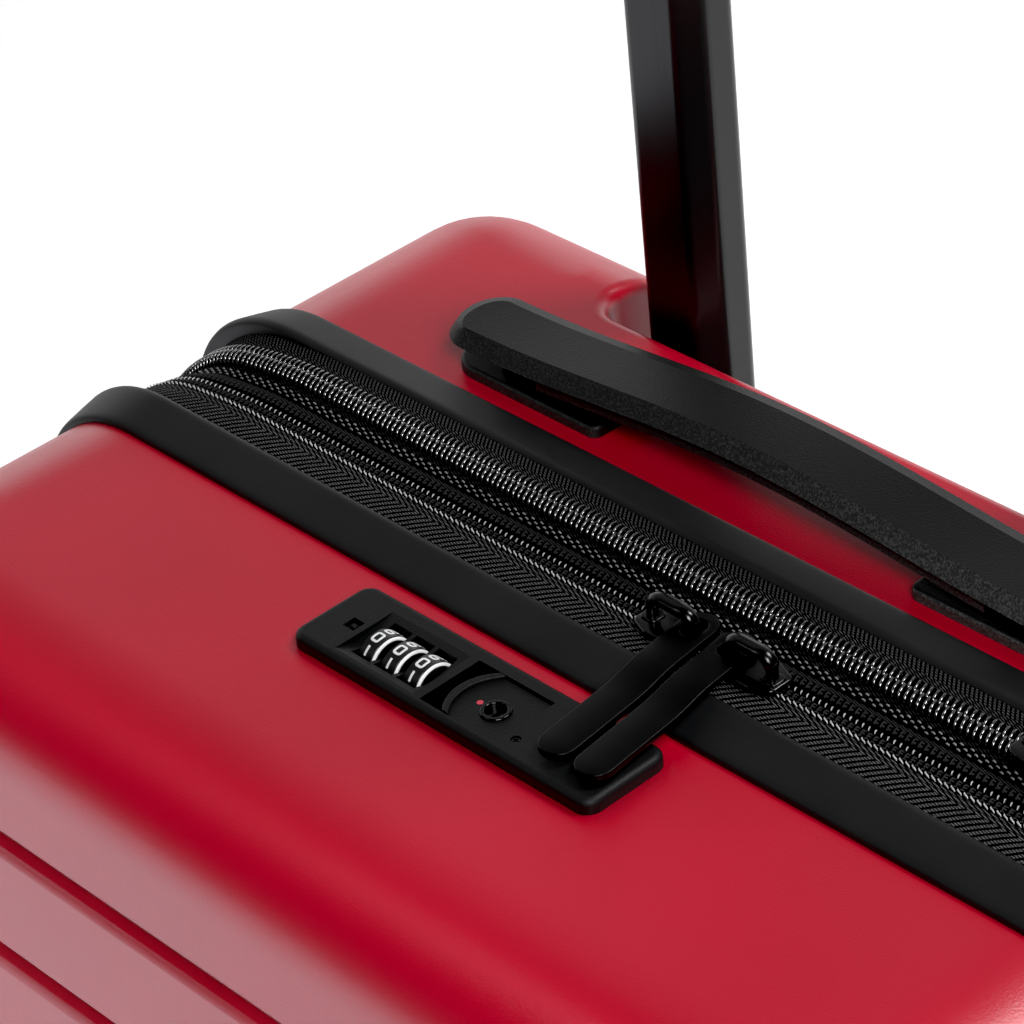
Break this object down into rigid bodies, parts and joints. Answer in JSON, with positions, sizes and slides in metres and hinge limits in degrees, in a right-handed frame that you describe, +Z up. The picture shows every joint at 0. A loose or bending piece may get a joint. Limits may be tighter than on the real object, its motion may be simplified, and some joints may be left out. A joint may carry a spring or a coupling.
{
  "type": "hard shell suitcase",
  "caption": "Upright hard shell cabin suitcase with swivelling wheels, zip opening, expansion zip, combination lock, carry handle and telescopic pull handle.",
  "frame": {"origin": "on the floor under the middle of the case", "axes": "+Z up, -Y the way the front shell faces, +Y the side of the telescopic handle, +X to the right when the front is faced"},
  "size_m": [0.398, 0.248, 0.927],
  "materials": {
    "red_shell": "satin fine-grained polycarbonate",
    "rim_bead": "satin black vinyl",
    "zip_cloth": "black woven zip tape",
    "lining_cloth": "dark grey lining cloth",
    "strap_web": "black elastic webbing",
    "slider_metal": "gloss black lacquer",
    "pull_metal": "matt black lacquer with bright edges",
    "lock_plastic": "fine-grained black",
    "dial_plastic": "black with white numerals",
    "steel": "bright",
    "handle_plastic": "fine-grained black",
    "tube_metal": "matt black anodised",
    "wheel_plastic": "black",
    "wheel_tread": "black soft tread on a plastic hub"
  },
  "bodies": {
    "back_half": {"back_shell": "red_shell", "back_rim_trim": "rim_bead", "back_lining": "lining_cloth", "packing_straps": "strap_web", "strap_clasp": "lock_plastic", "expander_zip_back": "zip_cloth", "handle_foot_left": "handle_plastic", "handle_foot_right": "handle_plastic", "handle_screws": "steel", "telescope_outer_tubes": "tube_metal", "telescope_bezels": "handle_plastic", "telescope_base": "handle_plastic", "back_wheel_housings": "wheel_plastic"},
    "expander": {"expander_zip_front": "zip_cloth", "main_zip_back": "zip_cloth", "hinge_cloth": "zip_cloth", "expander_gusset": "zip_cloth"},
    "front_half": {"front_shell": "red_shell", "front_rim_trim": "rim_bead", "front_lining": "lining_cloth", "main_zip_front": "zip_cloth", "lock_plate": "lock_plastic", "lock_body": "lock_plastic", "lock_screw": "slider_metal", "dial_shaft": "steel", "front_wheel_housings": "wheel_plastic"},
    "slider_left": {"slider_left": "slider_metal"},
    "slider_right": {"slider_right": "slider_metal"},
    "pull_left": {"pull_left": "pull_metal"},
    "pull_right": {"pull_right": "pull_metal"},
    "expander_slider": {"expander_slider": "slider_metal"},
    "expander_pull": {"expander_pull": "pull_metal"},
    "dial_1": {"dial_1": "dial_plastic"},
    "dial_2": {"dial_2": "dial_plastic"},
    "dial_3": {"dial_3": "dial_plastic"},
    "lock_slide": {"lock_slide": "lock_plastic"},
    "key_cylinder": {"key_cylinder": "slider_metal"},
    "reset_button": {"reset_button": "lock_plastic"},
    "carry_handle": {"carry_handle": "handle_plastic"},
    "telescope_middle": {"telescope_middle_tubes": "tube_metal", "telescope_collars": "handle_plastic"},
    "telescope_inner": {"telescope_inner_tubes": "tube_metal", "telescope_guides": "handle_plastic", "telescope_grip": "handle_plastic"},
    "telescope_button": {"telescope_button": "handle_plastic", "telescope_rods": "steel"},
    "caster_fl": {"fork_fl": "wheel_plastic", "axle_fl": "steel"},
    "wheels_fl": {"wheels_fl": "wheel_tread"},
    "caster_fr": {"fork_fr": "wheel_plastic", "axle_fr": "steel"},
    "wheels_fr": {"wheels_fr": "wheel_tread"},
    "caster_bl": {"fork_bl": "wheel_plastic", "axle_bl": "steel"},
    "wheels_bl": {"wheels_bl": "wheel_tread"},
    "caster_br": {"fork_br": "wheel_plastic", "axle_br": "steel"},
    "wheels_br": {"wheels_br": "wheel_tread"}
  },
  "joints": [
    {"name": "expand", "type": "slide", "parent": "back_half", "child": "expander", "axis": [0, -1, 0], "range_m": [0, 0.035], "deforming": ["expander_gusset"]},
    {"name": "open_front", "type": "hinge", "parent": "expander", "child": "front_half", "pos_m": [0.1985, -0.0094, 0.2925], "axis": [0, 0, 1], "range_deg": [0, 180]},
    {"name": "slider_left_travel", "type": "slide", "parent": "expander", "child": "slider_left", "axis": [1, 0, 0], "range_m": [-0.15, 0]},
    {"name": "slider_right_travel", "type": "slide", "parent": "expander", "child": "slider_right", "axis": [1, 0, 0], "range_m": [0, 0.085]},
    {"name": "pull_left_swing", "type": "hinge", "parent": "slider_left", "child": "pull_left", "pos_m": [0.0316, -0.0094, 0.54305], "axis": [0, 0, 1], "range_deg": [-50, 0]},
    {"name": "pull_right_swing", "type": "hinge", "parent": "slider_right", "child": "pull_right", "pos_m": [0.0434, -0.0094, 0.54305], "axis": [0, 0, 1], "range_deg": [0, 50]},
    {"name": "expander_slider_travel", "type": "slide", "parent": "back_half", "child": "expander_slider", "axis": [1, 0, 0], "range_m": [-0.23, 0.01]},
    {"name": "expander_pull_swing", "type": "hinge", "parent": "expander_slider", "child": "expander_pull", "pos_m": [0.13275, 0.009, 0.54585], "axis": [0, 0, 1], "range_deg": [-40, 40]},
    {"name": "dial_1_turn", "type": "hinge", "parent": "front_half", "child": "dial_1", "pos_m": [-0.027, -0.0555, 0.5335], "axis": [1, 0, 0], "continuous": true},
    {"name": "dial_2_turn", "type": "hinge", "parent": "front_half", "child": "dial_2", "pos_m": [-0.01915, -0.0555, 0.5335], "axis": [1, 0, 0], "continuous": true},
    {"name": "dial_3_turn", "type": "hinge", "parent": "front_half", "child": "dial_3", "pos_m": [-0.0113, -0.0555, 0.5335], "axis": [1, 0, 0], "continuous": true},
    {"name": "lock_slide_push", "type": "slide", "parent": "front_half", "child": "lock_slide", "axis": [-1, 0, 0], "range_m": [0, 0.003], "stiffness_N_per_m": 400},
    {"name": "key_turn", "type": "hinge", "parent": "lock_slide", "child": "key_cylinder", "pos_m": [0.0133, -0.0562, 0.535], "axis": [0, 0, 1], "range_deg": [0, 90]},
    {"name": "reset_press", "type": "slide", "parent": "front_half", "child": "reset_button", "axis": [0, 0, -1], "range_m": [0, 0.0015], "stiffness_N_per_m": 600},
    {"name": "carry_handle_lift", "type": "slide", "parent": "back_half", "child": "carry_handle", "axis": [0, 0, 1], "range_m": [0, 0.008]},
    {"name": "telescope_lower", "type": "slide", "parent": "back_half", "child": "telescope_middle", "axis": [0, 0, 1], "range_m": [-0.195, 0]},
    {"name": "telescope_upper", "type": "slide", "parent": "telescope_middle", "child": "telescope_inner", "axis": [0, 0, 1], "range_m": [-0.195, 0]},
    {"name": "telescope_button_press", "type": "slide", "parent": "telescope_inner", "child": "telescope_button", "axis": [0, 0, -1], "range_m": [0, 0.0022], "stiffness_N_per_m": 2500},
    {"name": "caster_fl_swivel", "type": "hinge", "parent": "front_half", "child": "caster_fl", "pos_m": [-0.157, -0.091, 0.055], "axis": [0, 0, 1], "continuous": true},
    {"name": "wheels_fl_roll", "type": "hinge", "parent": "caster_fl", "child": "wheels_fl", "pos_m": [-0.157, -0.081, 0.0225], "axis": [1, 0, 0], "continuous": true},
    {"name": "caster_fr_swivel", "type": "hinge", "parent": "front_half", "child": "caster_fr", "pos_m": [0.157, -0.091, 0.055], "axis": [0, 0, 1], "continuous": true},
    {"name": "wheels_fr_roll", "type": "hinge", "parent": "caster_fr", "child": "wheels_fr", "pos_m": [0.157, -0.081, 0.0225], "axis": [1, 0, 0], "continuous": true},
    {"name": "caster_bl_swivel", "type": "hinge", "parent": "back_half", "child": "caster_bl", "pos_m": [-0.157, 0.091, 0.055], "axis": [0, 0, 1], "continuous": true},
    {"name": "wheels_bl_roll", "type": "hinge", "parent": "caster_bl", "child": "wheels_bl", "pos_m": [-0.157, 0.101, 0.0225], "axis": [1, 0, 0], "continuous": true},
    {"name": "caster_br_swivel", "type": "hinge", "parent": "back_half", "child": "caster_br", "pos_m": [0.157, 0.091, 0.055], "axis": [0, 0, 1], "continuous": true},
    {"name": "wheels_br_roll", "type": "hinge", "parent": "caster_br", "child": "wheels_br", "pos_m": [0.157, 0.101, 0.0225], "axis": [1, 0, 0], "continuous": true}
  ]
}
